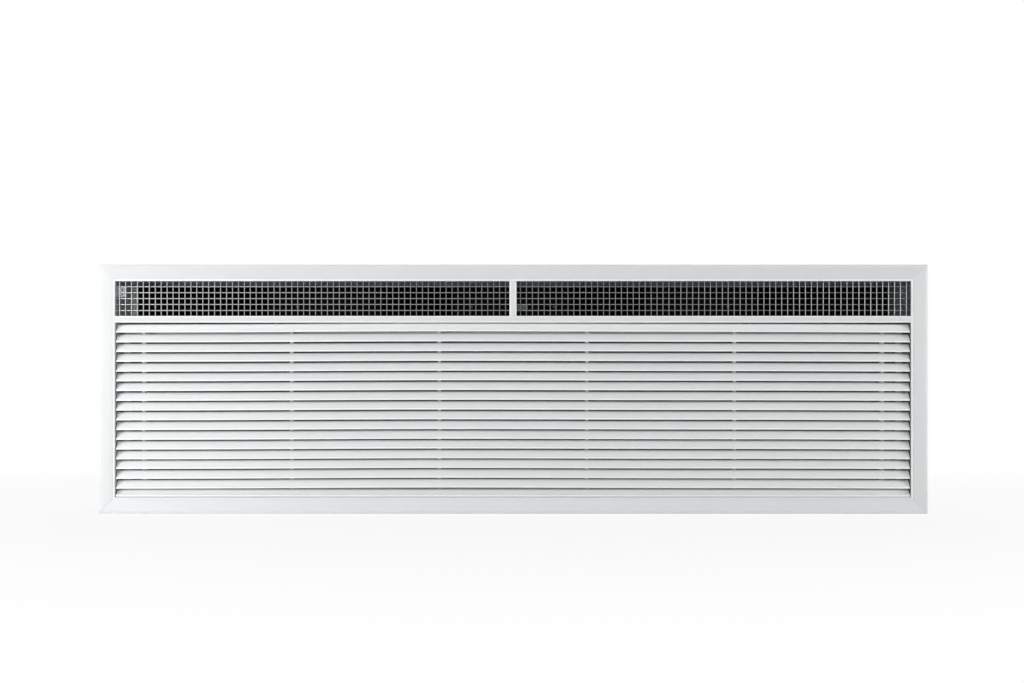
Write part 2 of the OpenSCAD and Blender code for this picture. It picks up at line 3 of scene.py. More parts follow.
import bmesh
import bpy
import mathutils
import numpy as np
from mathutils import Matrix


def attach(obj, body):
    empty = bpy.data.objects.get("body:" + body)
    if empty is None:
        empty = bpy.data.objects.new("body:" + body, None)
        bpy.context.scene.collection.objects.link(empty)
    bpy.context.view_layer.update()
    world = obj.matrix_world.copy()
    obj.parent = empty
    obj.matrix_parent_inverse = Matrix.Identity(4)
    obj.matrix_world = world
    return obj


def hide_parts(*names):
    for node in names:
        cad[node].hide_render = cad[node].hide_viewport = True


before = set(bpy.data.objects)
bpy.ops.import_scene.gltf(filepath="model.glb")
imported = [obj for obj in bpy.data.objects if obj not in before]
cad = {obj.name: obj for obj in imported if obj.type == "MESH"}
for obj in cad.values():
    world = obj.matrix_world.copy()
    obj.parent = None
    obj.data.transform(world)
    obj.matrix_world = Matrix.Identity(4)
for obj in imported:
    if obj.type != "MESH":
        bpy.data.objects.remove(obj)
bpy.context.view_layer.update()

# ---------- galvanised casing ----------
# Five panels of hot-dip galvanised steel sheet make the box above the ceiling, and one
# more the duct's lower wall. The zinc has set in flat crystals, each with its own grey
# and gloss. The right panel, one end of the discharge duct, is given a darker zinc as
# painted shade.


class Reading:
    """A value in a finish. + - * and > on it add the Math node that works it out."""

    def __init__(self, finish, socket):
        self.finish, self.socket = finish, socket

    def maths(self, operation, first, second):
        """Adds a Math node on two readings or numbers and gives its result."""
        node = self.finish.tree.nodes.new("ShaderNodeMath")
        node.operation = operation
        for socket, value in zip(node.inputs, (first, second)):
            self.finish.join(socket, value)
        return Reading(self.finish, node.outputs[0])

    def __add__(self, other):
        return self.maths("ADD", self, other)

    def __sub__(self, other):
        return self.maths("SUBTRACT", self, other)

    def __rsub__(self, other):
        return self.maths("SUBTRACT", other, self)

    def __mul__(self, other):
        return self.maths("MULTIPLY", self, other)

    def __gt__(self, other):
        return self.maths("GREATER_THAN", self, other)

    __radd__, __rmul__ = __add__, __mul__


class Finish:
    """A surface finish: one material and its shader, with constants set on the shader itself."""

    def __init__(self, name, colour, **constants):
        self.material = bpy.data.materials.new(name)
        self.material.use_nodes = True
        self.tree = self.material.node_tree
        self.shader = self.tree.nodes["Principled BSDF"]
        self.shader.inputs["Base Color"].default_value = (*colour, 1)
        for socket, value in constants.items():
            self.shader.inputs[socket.replace("_", " ")].default_value = value

    def join(self, socket, value):
        """Links a reading to a socket, or sets a number or colour on it."""
        if isinstance(value, Reading):
            self.tree.links.new(value.socket, socket)
        elif isinstance(value, tuple) and len(value) == 3 and len(socket.default_value) == 4:
            socket.default_value = (*value, 1)
        else:
            socket.default_value = value

    def node(self, kind, out, settings=None, **sockets):
        """Adds a node, makes its settings, feeds its sockets by name and returns one output."""
        node = self.tree.nodes.new(kind)
        for setting, value in (settings or {}).items():
            setattr(node, setting, value)
        for name, value in sockets.items():
            found = [s for s in node.inputs if s.enabled and s.name == name.replace("_", " ")]
            self.join(found[0], value)
        return Reading(self, [s for s in node.outputs if s.enabled and s.name == out][0])

    def place(self, stretch=(1, 1, 1)):
        """Where a point lies on the unit, in metres, with each axis stretched for a pattern."""
        spot = self.node("ShaderNodeTexCoord", "Object")
        return self.node("ShaderNodeMapping", "Vector", Vector=spot, Scale=stretch)

    def along(self, axis):
        """How far a point lies along X, Y or Z, in metres."""
        return self.node("ShaderNodeSeparateXYZ", axis, Vector=self.place())

    def noise(self, size, detail=2.0, roughness=0.5, stretch=(1, 1, 1)):
        """Cloudy noise between 0 and 1, with lumps of about size metres."""
        return self.node("ShaderNodeTexNoise", "Fac", Vector=self.place(stretch), Scale=1/size,
                         Detail=detail, Roughness=roughness)

    def share(self, value, low, high):
        """0 where value is under low, 1 where it is over high, and a smooth step between."""
        return self.node("ShaderNodeMapRange", "Result", {"interpolation_type": "SMOOTHSTEP"},
                         Value=value, From_Min=low, From_Max=high)

    def mix(self, share, first, second):
        """The colour that lies the given share of the way from first to second."""
        return self.node("ShaderNodeMix", "Result", {"data_type": "RGBA"},
                         Factor=share, A=first, B=second)

    def feed(self, **sockets):
        """Links readings to the shader's sockets, each given by its name."""
        for name, value in sockets.items():
            self.join(self.shader.inputs[name.replace("_", " ")], value)

    def bump(self, height, depth):
        """Raises the surface by height, a reading from 0 to 1, times depth in metres."""
        self.feed(Normal=self.node("ShaderNodeBump", "Normal", Height=height, Distance=depth,
                                   Strength=1.0))


def galvanised(name, dark, light, spangle, cloud_share=0.3):
    """Zinc crystals of about spangle metres: each cell takes its own gloss and its own grey
    between dark and light, and slow clouds have their share in the grey."""
    zinc = Finish(name, light, Metallic=0.45)
    colour = zinc.node("ShaderNodeTexVoronoi", "Color", Vector=zinc.place(), Scale=1/spangle)
    own = zinc.node("ShaderNodeSeparateColor", "Red", Color=colour)
    gloss = zinc.node("ShaderNodeSeparateColor", "Green", Color=colour)
    cloud = zinc.noise(0.16, 4.0)
    zinc.feed(Base_Color=zinc.mix(own*(1 - cloud_share) + cloud*cloud_share, dark, light),
              Roughness=0.34 + gloss*0.16 + cloud*0.1)
    zinc.bump(own*0.4 + zinc.noise(0.004, 3.0)*0.6, 0.00006)
    return zinc.material


def finish_cad(material, *names):
    """Gives a finish to CAD pieces whose shape is right as it is."""
    for name in names:
        slots = cad[name].material_slots
        if not slots:
            cad[name].data.materials.append(material)
        for each in slots:
            each.material = material


sheet_spangle = 0.011
right_end_shade, zinc_dark, zinc_light = (0.09, 0.125, 0.135), (0.36, 0.42, 0.44), (0.56, 0.63, 0.65)
zinc_sheet = galvanised("galvanised", zinc_dark, zinc_light, sheet_spangle)
finish_cad(zinc_sheet, "casing_back", "casing_top", "casing_bottom", "casing_left", "duct_floor")
# The right panel's darker zinc is painted shade for that end of the duct.
shaded_zinc = galvanised("galvanised_right_painted_shade", right_end_shade, zinc_dark, sheet_spangle, cloud_share=0.5)
finish_cad(shaded_zinc, "casing_right")

# ---------- hangers ----------
# Four Z brackets bent from 2 mm galvanised strip are spot-welded by their feet to the
# casing's back. The hanging bolt goes through the hole in the flange that stands off.

back_d, stand_off, strip_t, strip_half_w = 385, 25, 2, 20
bolt_x, bolt_up, bolt_r, reach, foot_up, plate_up = 700, 190, 4.5, 18, 48, 9
origin_d, origin_h = back_d + stand_off, 262


def rounded(corners, radii, steps=7):
    """An outline with its corners rounded. At a corner whose half angle is h, the arc of
    radius r touches both sides r/tan(h) away, about a centre r/sin(h) along the bisector."""
    p = np.array(corners, float)
    r = np.array(radii, float)[:, None]
    a = np.roll(p, 1, 0) - p
    b = np.roll(p, -1, 0) - p
    a /= np.linalg.norm(a, axis=1, keepdims=True)
    b /= np.linalg.norm(b, axis=1, keepdims=True)
    half = np.arccos(np.clip((a*b).sum(1, keepdims=True), -1, 1))/2
    middle = a + b
    centre = p + middle/np.linalg.norm(middle, axis=1, keepdims=True)*r/np.sin(half)
    first = p + a*r/np.tan(half) - centre
    last = p + b*r/np.tan(half) - centre
    sweep = (math.pi - 2*half)[:, None]
    t = np.linspace(0, 1, steps)[None, :, None]
    arc = (first[:, None]*np.sin((1 - t)*sweep) + last[:, None]*np.sin(t*sweep))/np.sin(sweep)
    return (centre[:, None] + arc).reshape(-1, 2)


def skin(rings, loop=False):
    """Points and faces of a stack of equal rings: point j of ring i is joined to j + 1 and
    to ring i + 1. The first and last rings are filled, or joined where loop is true."""
    m, n = rings.shape[:2]
    a = np.arange(m*n).reshape(m, n)
    a = np.concatenate([a, a[:1]]) if loop else a
    b = np.roll(a, -1, 1)
    faces = np.stack([a[:-1], b[:-1], b[1:], a[1:]], -1).reshape(-1, 4).tolist()
    if not loop:
        faces += [a[0].tolist(), a[-1].tolist()]
    return rings.reshape(-1, 3), faces


def gathered(parts):
    """Several skins as one, their faces counted on from the points before."""
    points, faces, start = [], [], 0
    for own_points, own_faces in parts:
        points.append(own_points)
        faces += [[start + k for k in face] for face in own_faces]
        start += len(own_points)
    return np.concatenate(points), faces


def make(name, shape, material, body, stands_for, sharp=35, lip=None):
    """Makes a piece of (x, depth, height) points in mm, measured from the middle, the face
    and the frame's lower edge, and moves them to the hanger holes' middle, in metres. Edges
    of more than sharp degrees stay crisp, and the piece stands for the named CAD node.
    lip says which points of its section, repeated for every ring, lie on a lip."""
    points, faces = shape
    mesh = bpy.data.meshes.new(name)
    mesh.from_pydata(((points - (0, origin_d, origin_h))/1000).tolist(), [], faces)
    if lip is not None:
        on_lip = mesh.attributes.new("lip", "FLOAT", "POINT")
        on_lip.data.foreach_set("value", np.tile(lip, len(points)//len(lip)).astype(np.float32))
    shell = bmesh.new()
    shell.from_mesh(mesh)
    bmesh.ops.recalc_face_normals(shell, faces=shell.faces)
    shell.to_mesh(mesh)
    shell.free()
    mesh.shade_smooth()
    mesh.set_sharp_from_angle(angle=math.radians(sharp))
    mesh.materials.append(material)
    piece = bpy.data.objects.new(name, mesh)
    bpy.context.scene.collection.objects.link(piece)
    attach(piece, body)
    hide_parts(stands_for)


def pierced(outline, hole):
    """A plate with a round hole about its own zero, as four closed rings: the hole and the
    outline on one face, then both on the other. Each side of the outline is cut into six,
    and the hole has a point on the ray to each of its points. Columns are across and up."""
    step = np.linspace(0, 1, 6, endpoint=False)[None, :, None]
    rim = (outline[:, None] + (np.roll(outline, -1, 0) - outline)[:, None]*step).reshape(-1, 2)
    eye = hole*rim/np.linalg.norm(rim, axis=1, keepdims=True)
    return np.stack([eye, rim, rim, eye])


# A bracket's section as (depth from the casing, height from the bolt towards the foot).
strip_in = stand_off - strip_t
strip = rounded([(0, reach), (0, foot_up), (strip_t, foot_up), (strip_t, reach + strip_t),
                 (stand_off, reach + strip_t), (stand_off, plate_up), (strip_in, plate_up),
                 (strip_in, reach)], [3, 0.6, 0.6, 1, 3, 0.1, 0.1, 1])
flange = pierced(rounded([(-strip_half_w, -reach), (strip_half_w, -reach),
                          (strip_half_w, plate_up + 0.1), (-strip_half_w, plate_up + 0.1)],
                         [4, 4, 0.1, 0.1]), bolt_r)
flange_d = back_d + np.array([stand_off, stand_off, strip_in, strip_in])[:, None]
hanger_parts = []
for x in (-bolt_x, bolt_x):
    for up in (-1, 1):
        width = x + np.linspace(-strip_half_w, strip_half_w, 5)[:, None]*np.ones(len(strip))
        depth = np.broadcast_to(back_d + strip[:, 0], width.shape)
        height = np.broadcast_to(origin_h - up*(bolt_up - strip[:, 1]), width.shape)
        hanger_parts.append(skin(np.stack([width, depth, height], -1)))
        depth = np.broadcast_to(flange_d, flange.shape[:2])
        hanger_parts.append(skin(np.stack(
            [x + flange[..., 0], depth, origin_h - up*(bolt_up - flange[..., 1])], -1), loop=True))
zinc_press = galvanised("galvanised_pressings", (0.38, 0.42, 0.44), (0.58, 0.62, 0.64), 0.006)
make("hanger_brackets", gathered(hanger_parts), zinc_press, "unit", "hangers")

# ---------- screws ----------
# Steel pan-head screws with a cross recess, zinc-plated where they hold the casing to the
# frame's legs and blackened where they hold the bulkhead to its flanges. That dark tone is
# partly painted shade deep in the duct.

frame_w, frame_h, case_half_w, case_half_h = 1743, 524, 839.7, 230.2
leg_screw_d, leg_screw_l, deck_d, deck_screw_l = 21, 3.2, 180, 6
deck_screw_h, deck_screw_x = 445.3, (-796.8, -479, -93, 93, 479, 796.8)
head_h, cross_sunk = 2.4, 1.2


def pan_head(seat, out, length, turn):
    """A pan-head screw: circles about the direction out, from the shank's tip to the middle
    of the head, whose top falls with the square of the radius. Within 2 mm of the axis the
    top sinks along the arms of a cross, the more the nearer the closer arm is."""
    radius = np.array([0.3, 1.7, 2, 2, 4, 4, 3.7, 3, 2.5, 2.1, 1.7, 1.2, 0.7, 0.2])[:, None]
    side_rise = np.array([-length, -length, 0.4 - length, 0, 0, 1.1, 1.6], float)[:, None]
    angle = np.linspace(0, 2*math.pi, 32, endpoint=False)[None] + turn
    u, v = radius*np.cos(angle), radius*np.sin(angle)
    near = np.minimum(np.abs(u*math.cos(turn) + v*math.sin(turn)),
                      np.abs(v*math.cos(turn) - u*math.sin(turn)))
    sunk = cross_sunk*np.clip(1.5 - 2*near, 0, 1)*np.clip(4.4 - 2*radius, 0, 1)
    rise = head_h - 0.05*radius**2 - sunk
    rise[:len(side_rise)] = side_rise
    out = np.array(out, float)
    side = np.cross(out, (0.3, 0.5, 0.8))
    side /= np.linalg.norm(side)
    return (np.array(seat, float) + u[..., None]*side + v[..., None]*np.cross(out, side)
            + rise[..., None]*out)


def screw_steel(name, colour, roughness):
    """Turned steel for screws, shafts and pins, no smoother than roughness: fine marks round
    the X axis and a grain."""
    steel = Finish(name, colour, Metallic=0.9)
    steel.feed(Roughness=roughness + steel.noise(0.003, stretch=(1, 0.1, 0.1))*0.15)
    steel.bump(steel.noise(0.0008), 0.00001)
    return steel.material


rng = np.random.default_rng(4)
leg_screws = [((frame_w*share, leg_screw_d, origin_h + k*case_half_h), (0, 0, k))
              for share in (-0.44, -0.22, 0, 0.22, 0.44) for k in (-1, 1)]
leg_screws += [((k*case_half_w, leg_screw_d, origin_h + frame_h*share), (k, 0, 0))
               for share in (-0.3, 0, 0.3) for k in (-1, 1)]
bright_steel = screw_steel("bright_steel", (0.20, 0.20, 0.20), 0.25)
make("leg_screws", gathered([skin(pan_head(seat, out, leg_screw_l, rng.uniform(0, 3)))
                             for seat, out in leg_screws]),
     bright_steel, "unit", "frame_screws")
# The blackened steel's dark tone is partly painted shade deep in the duct.
black_steel = screw_steel("black_oxide_steel", (0.07, 0.07, 0.072), 0.3)
make("bulkhead_screws", gathered([skin(pan_head((x, deck_d, deck_screw_h), (0, -1, 0), deck_screw_l,
                                                rng.uniform(0, 3))) for x in deck_screw_x]),
     black_steel, "unit", "deck_screws")

# ---------- discharge duct ----------
# The duct behind the slot ends in a bulkhead of black powder-coated sheet, with an outlet
# for each fan's black housing; the sheet is made blacker than paint, as painted shade deep
# in the duct. Small zinc-plated angles and two-hole brackets stand at its ends, and a plate
# covers the bulkhead's joint: those at the left are painted light, a near white, and the
# others painted shade, a dark grey.

# Black sheet made darker than paint: its tone is partly painted shade deep in the duct.
black_sheet = Finish("black_sheet", (0.002, 0.0023, 0.0026), Specular_IOR_Level=0.06)
black_sheet.feed(Roughness=0.7 + black_sheet.noise(0.05, 3.0)*0.2)
black_sheet.bump(black_sheet.noise(0.0016), 0.00005)
finish_cad(black_sheet.material, "fan_deck", "fan_housing_1", "fan_housing_2",
           "fan_housing_3", "fan_housing_4")

# Painted light and shade: brackets left of about x = -0.15 m take a near white as painted light,
# the rest a dark grey as painted shade.
bracket_lit_tone, bracket_shade_tone = (0.90, 0.94, 0.95), (0.07, 0.095, 0.105)
bracket_light_and_shade = Finish("bare_bracket", bracket_lit_tone, Metallic=0.1)
lit_at_left = bracket_light_and_shade.share(bracket_light_and_shade.along("X")*-1, 0.1, 0.2)
bracket_light_and_shade.feed(Base_Color=bracket_light_and_shade.mix(lit_at_left, bracket_shade_tone, bracket_lit_tone),
                  Roughness=0.35 + bracket_light_and_shade.noise(0.006, 3.0)*0.2)
bracket_light_and_shade.bump(bracket_light_and_shade.noise(0.0012), 0.00003)
finish_cad(bracket_light_and_shade.material, "duct_brackets")

# ---------- fans ----------
# Each enamelled motor lies in its cradle and turns two squirrel-cage wheels of rolled
# aluminium on one ground steel shaft. Pressed rings guide the air in from both sides.

motor_x, shaft_d, shaft_h, barrel_r, shield_x = 420, 255.654, 347.232, 55, 75
wheel_metal = Finish("impeller_metal", (0.66, 0.67, 0.68), Metallic=0.9)
wheel_metal.feed(Roughness=0.32 + wheel_metal.noise(0.02, 3.0)*0.2)
wheel_metal.bump(wheel_metal.noise(0.0015, stretch=(0.1, 1, 1)), 0.00004)
finish_cad(wheel_metal.material, "impeller_1", "impeller_2", "impeller_3", "impeller_4")

finish_cad(bright_steel, "shaft_left", "shaft_right")
finish_cad(zinc_press, "inlet_rings", "motor_cradles")

motor_paint = Finish("motor_enamel", (0.035, 0.037, 0.04), Coat_Weight=0.3)
motor_paint.feed(Roughness=0.34 + motor_paint.noise(0.03, 3.0)*0.12)
motor_paint.bump(motor_paint.noise(0.0025), 0.00008)


def motor_shell(middle):
    """A motor about its shaft: the outline of its section, bore and all, turned round it.
    Thirty-six ribs run along the barrel between the two bands: the radius falls with the
    sine of 36 angles, squeezed towards its ends. Twelve slots sink into each end shield."""
    half = rounded([(0, 5.05), (87, 5.05), (87, 17), (84, 20), (84, 34), (shield_x, 36),
                    (shield_x, barrel_r), (62, barrel_r), (62, 53.8), (60.5, 53.8),
                    (60.5, barrel_r), (0, barrel_r)],
                   [0.02, 1, 1, 1, 2.5, 2, 5, 0.4, 0.3, 0.3, 0.4, 0.02], 5)
    half = np.insert(half, 30, [(shield_x, r) for r in (40, 41.5, 46.5, 48)], axis=0)
    half = np.concatenate([half[half[:, 0] > 1], [(x, barrel_r) for x in (41, 38, 36, 12)]])
    along, radius = np.concatenate([half, (half*(-1, 1))[::-1]]).T
    angle = np.linspace(0, 2*math.pi, 216, endpoint=False)[:, None]
    rib = 0.65*(1 + np.tanh(4*np.sin(36*angle)))
    slot = 1.2*(1 + np.tanh(6*(np.sin(12*angle) - 0.3)))
    between_bands = (np.abs(along) < 37) & (radius > barrel_r - 1)
    on_shield = (radius > 41) & (radius < 47) & (np.abs(np.abs(along) - shield_x) < 0.01)
    radius = radius - rib*between_bands
    along = along - slot*on_shield*np.sign(along)
    return skin(np.stack([middle + along, shaft_d + radius*np.cos(angle),
                          shaft_h + radius*np.sin(angle)], -1), loop=True)


for x, side in ((-motor_x, "left"), (motor_x, "right")):
    make("motor_shell_" + side, motor_shell(x), motor_paint.material, "unit",
         "motor_" + side)

# ---------- wiring ----------
# A moulded light grey terminal box is fixed inside the casing's back, and its black
# nylon gland comes out through the sheet between the hangers.

gland_x, gland_h = -160, 118
box_grey = Finish("terminal_grey", (0.58, 0.59, 0.58))
box_grey.feed(Roughness=0.42 + box_grey.noise(0.02, 3.0)*0.12)
box_grey.bump(box_grey.noise(0.0009), 0.00004)
finish_cad(box_grey.material, "terminal_box", "terminal_cover")

gland_nylon = Finish("gland_nylon", (0.022, 0.023, 0.025))
gland_nylon.feed(Roughness=0.38 + gland_nylon.noise(0.008, 3.0)*0.15)
gland_nylon.bump(gland_nylon.noise(0.001), 0.00003)


def gland_nut():
    """The gland about its cable's axis: the outline of its section turned round it. Where
    hexagon is 1 the radius follows a hexagon, the flat's distance over the cosine of the
    angle from its middle, and where flute is 1 it dips with the sine of 24 angles."""
    depth, radius, hexagon, flute = np.array([
        (373.8, 5, 0, 0), (373.8, 9.5, 0, 0), (374.3, 10, 0, 0), (385, 10, 0, 0),
        (385, 13.3, 1, 0), (385.7, 14, 1, 0), (393.3, 14, 1, 0), (394, 13.3, 1, 0),
        (394, 9.6, 0, 0), (394.3, 10, 0, 1), (397, 10, 0, 1), (399.6, 10, 0, 1),
        (401.3, 9.3, 0, 0.4), (402.5, 8, 0, 0), (403, 6.4, 0, 0), (402.4, 5.6, 0, 0),
        (402.4, 5, 0, 0)]).T
    angle = np.linspace(0, 2*math.pi, 144, endpoint=False)[:, None]
    flat = math.cos(math.pi/6)/np.cos(angle % (math.pi/3) - math.pi/6)
    radius = radius*(1 + hexagon*(flat - 1)) - 0.25*flute*(1 + np.sin(24*angle))
    return skin(np.stack([gland_x + radius*np.cos(angle), np.broadcast_to(depth, radius.shape),
                          gland_h + radius*np.sin(angle)], -1), loop=True)


make("gland_body", gland_nut(), gland_nylon.material, "unit", "cable_gland")

# ---------- face frame ----------
# Four extruded aluminium bars, powder-coated white and mitred at the corners with a
# hairline joint, with keys of bare aluminium behind. Each bar is given its own tone, lip
# tone and leg tone for the light it gets: painted light and shade. The outer edge is
# bevelled, and a groove sets off the rounded lip.

bar_w, bar_t, leg_deep, mitre_gap, groove_in, groove_out = 35, 2, 30, 0.3, 29.4, 30.9
leg_y = (3 - origin_d)/1000


def powder_coat(name, tone, lip_highlight_tone, leg_from=1.0, leg_share=0.3):
    """White powder coat: a faint orange peel, slow changes of tone and gloss, and a painted
    highlight on the lips, where the attribute lip is 1, given by a whiter tone. On the legs,
    behind y = leg_from, painted shade leaves only leg_share of the tone. A leg_from of 1 m
    lies behind the whole unit."""
    coat = Finish(name, tone)
    cloud = coat.noise(0.22, 3.0)
    fleck = coat.noise(0.012, 4.0)
    shade = tuple(c*0.965 for c in tone)
    lip = coat.node("ShaderNodeAttribute", "Fac", {"attribute_name": "lip"})
    # Painted highlight: the lips take the whiter lip tone.
    coat_and_lip_highlight = coat.mix(lip, coat.mix(cloud*0.7 + fleck*0.3, shade, tone), lip_highlight_tone)
    # Painted shade: the legs behind leg_from keep only leg_share of the tone.
    leg_in_shade = coat.share(coat.along("Y"), leg_from, leg_from + 0.003)
    coat.feed(Base_Color=coat.mix(leg_in_shade, coat_and_lip_highlight, tuple(c*leg_share for c in tone)),
              Roughness=0.3 + cloud*0.08 + fleck*0.06)
    coat.bump(coat.noise(0.0022)*0.8 + coat.noise(0.0005, 1.0)*0.2, 0.00005)
    return coat.material


# Each bar's tone, lip tone and leg share are set for the light it gets, painted light and shade:
# the top bar darkest, the lower bar lighter and without a lip highlight, the left leg less shaded
# than the right.
white_top = powder_coat("white_powder_coat", (0.68, 0.70, 0.706), (0.84, 0.845, 0.85), leg_y)
white_sill = powder_coat("white_lower_bar", (0.745, 0.766, 0.77), (0.76, 0.78, 0.785), leg_y)
side_tones = (0.715, 0.73, 0.736), (0.86, 0.865, 0.87), leg_y
white_left = powder_coat("white_left_bar", *side_tones, leg_share=0.55)
white_right = powder_coat("white_right_bar", *side_tones, leg_share=0.14)
bar_section = rounded(
    [(8, 0), (3, 0), (0, 6), (0, groove_in), (0.9, groove_in), (0.9, groove_out),
     (0, groove_out), (0, bar_w), (leg_deep, bar_w), (leg_deep, bar_w - bar_t),
     (bar_t, bar_w - bar_t), (bar_t, 7), (4, 2), (8, 2)],
    [0.5, 0.8, 0.8, 0.25, 0.2, 0.2, 0.7, 1.6, 0.4, 0.4, 0.5, 1, 1, 0.5])
section_d, section_u = bar_section.T
on_face = section_d < 6
inner_lip = on_face & (section_u > groove_out - 0.05)
bevel = on_face & (section_u < 6)


def bar(length):
    """A bar's section carried along its length; a point u from the outer edge ends u short
    of it, which cuts the ends at 45 degrees. Gives the points' places along, depths and u."""
    along = np.linspace(-1, 1, 9)[:, None]*(length/2 - mitre_gap/2 - section_u)
    return along, np.broadcast_to(section_d, along.shape), np.broadcast_to(section_u, along.shape)


long_x, long_d, long_u = bar(frame_w)
side_h, side_d, side_u = bar(frame_h)
for name, coat, x, depth, height, lip in (
    ("frame_bottom", white_sill, long_x, long_d, long_u, inner_lip),
    # The top bar's bevel joins its lips in the painted highlight.
    ("frame_top", white_top, long_x, long_d, frame_h - long_u, inner_lip | bevel),
    ("frame_left", white_left, side_u - frame_w/2, side_d, side_h + frame_h/2, inner_lip),
    ("frame_right", white_right, frame_w/2 - side_u, side_d, side_h + frame_h/2, inner_lip),
):
    make(name + "_bar", skin(np.stack([x, depth, height], -1)), coat, "unit",
         name, lip=lip)

bare_metal = Finish("bare_aluminium", (0.70, 0.71, 0.72), Metallic=1.0)
bare_metal.feed(Roughness=0.3 + bare_metal.noise(0.01, 3.0, stretch=(0.05, 1, 1))*0.2)
bare_metal.bump(bare_metal.noise(0.0006, stretch=(0.05, 1, 1)), 0.00001)
finish_cad(bare_metal.material, "corner_keys")

# ---------- cross bar and mullion ----------
# The same white extrusion divides the slot from the intake, and a short upright
# divides the slot in two. Both are channels whose face lies between two round lips.

open_w, slot_z, slot_h, cross_h, mullion_w = frame_w - 2*bar_w, 416.2, 72.8, 14, 15
lip_w, face_sunk, face_in, end_gap = 2.9, 0.35, 3.3, 0.2
# The channels' lips take a whiter tone as a painted highlight.
white_cross = powder_coat("white_cross_bar", (0.70, 0.72, 0.727), (0.85, 0.855, 0.86))


def channel(width):
    """Section of a channel as (depth, width): two lips beside a face that lies lower."""
    return rounded(
        [(0, 0), (0, lip_w), (face_sunk, face_in), (face_sunk, width - face_in),
         (0, width - lip_w), (0, width), (leg_deep, width), (leg_deep, width - bar_t),
         (2.2, width - bar_t), (2.2, bar_t), (leg_deep, bar_t), (leg_deep, 0)],
        [1.6, 0.4, 0.2, 0.2, 0.4, 1.6, 0.4, 0.4, 0.5, 0.5, 0.4, 0.4])


def carried(section, ends, axis):
    """A (depth, width) section carried between two ends along X, axis 0, or Z, axis 2."""
    depth, width = section.T
    run = np.linspace(*ends, 9)[:, None]*np.ones(len(depth))
    depth, width = np.broadcast_to(depth, run.shape), np.broadcast_to(width, run.shape)
    return np.stack([run, depth, width] if axis == 0 else [width, depth, run], -1)


def channel_lips(section, width):
    """Which points of a channel's section lie on its two lips."""
    return (section[:, 0] < 6) & (np.abs(section[:, 1] - width/2) > width/2 - lip_w - 0.15)


for name, width, ends, axis, shift in (
    ("cross_bar", cross_h, (-open_w/2 + end_gap, open_w/2 - end_gap), 0, slot_z - cross_h),
    ("slot_mullion", mullion_w, (slot_z + end_gap, slot_z + slot_h - end_gap), 2, -mullion_w/2),
):
    profile = channel(width)
    make(name + "_channel", skin(carried(profile + (0, shift), ends, axis)), white_cross,
         "unit", name, lip=channel_lips(profile, width))

# ---------- welded mesh ----------
# Two panels of galvanised welded mesh close the slot: wire of about 2 mm at 12.5 mm
# pitch, the upright wires in front of the level ones. The uprights are painted darker in
# the middle and lighter towards the ends, and the level wires lighter at the left and
# darker to the right: painted light and shade for how the lamps catch them.

pitch, wire_r, upright_d, level_d, upright_n, level_n = 12.5, 0.92, 7.9, 9.8, 66, 5
mesh_up, mesh_gap = 0.4, 0.3
mesh_metal = Finish("mesh_wire", (0.30, 0.31, 0.31), Metallic=0.25)
mesh_cloud = mesh_metal.noise(0.02, 3.0)
from_middle = mesh_metal.along("X")
is_level = mesh_metal.along("Y") > ((upright_d + level_d)/2 - origin_d)/1000
# Painted light and shade: uprights darker in the middle and lighter to the ends, level wires
# lighter at the left and darker to the right.
upright = mesh_metal.mix(from_middle*from_middle*1.1 + mesh_cloud*0.12,
                         (0.14, 0.145, 0.145), (0.62, 0.63, 0.625))
level = mesh_metal.mix(0.22 - from_middle*0.6 + mesh_cloud*0.12,
                       (0.17, 0.175, 0.18), (0.70, 0.70, 0.68))
mesh_metal.feed(Base_Color=mesh_metal.mix(is_level, upright, level),
                Roughness=0.4 + mesh_cloud*0.15)
mesh_metal.bump(mesh_metal.noise(0.001, 3.0), 0.00005)


def wire(start, end):
    """A straight wire: circles square to it, shrunk over a short domed end at each side."""
    start, end = np.array(start, float), np.array(end, float)
    along = (end - start)/np.linalg.norm(end - start)
    side = np.cross(along, (0.0, 1.0, 0.0))
    up = np.cross(along, side)
    t = np.linspace(0, 2*math.pi, 10, endpoint=False)
    circle = np.cos(t)[:, None]*side + np.sin(t)[:, None]*up
    inset = wire_r*np.array([0, 0.15, 0.5])
    size = wire_r*np.array([0.5, 0.85, 1.0])
    at = np.concatenate([start + along*inset[:, None], (end - along*inset[:, None])[::-1]])
    return at[:, None] + circle*np.concatenate([size, size[::-1]])[:, None, None]


spare = (open_w - mullion_w)/2 - (upright_n - 1)*pitch
columns = np.arange(upright_n)*pitch + mullion_w/2 + spare/2
rows = np.arange(level_n)*pitch + slot_z + (slot_h - (level_n - 1)*pitch)/2 + mesh_up
low, high = slot_z + mesh_gap, slot_z + slot_h - mesh_gap
near, far = mullion_w/2 + mesh_gap, open_w/2 - mesh_gap
rng = np.random.default_rng(7)
for side, name in ((-1, "mesh_left"), (1, "mesh_right")):
    skew = rng.normal(0, 0.12, (upright_n, 2))
    wires = [wire((side*x + a, upright_d, low), (side*x + b, upright_d, high))
             for x, (a, b) in zip(columns, skew)]
    sag = rng.normal(0, 0.1, (level_n, 2))
    wires += [wire((side*near, level_d, z + a), (side*far, level_d, z + b))
              for z, (a, b) in zip(rows, sag)]
    make(name + "_wires", gathered([skin(w) for w in wires]), mesh_metal.material, "unit",
         name, sharp=50)

# ---------- louvre blades ----------
# Eighteen rolled aluminium blades, powder-coated white, lie on six upright bars, whose grey
# is painted shade for where they lie behind the blades. Each has a small lip along its
# front, the lowest one the bead that swings on the hinge pins, and its web flattens
# towards the rear. The core is a little crowned.

blade_n, blade_l, blade_step, first_h, hinge_h = 18, 1669, 20.5, 35.2, 38.5
nose_d, web_t, lip_half_t, lip_half_h, bead_r = 4.4, 1.2, 1.1, 1.6, 3.2
lean, curl, web_rise = math.radians(34), math.radians(86), 15.5
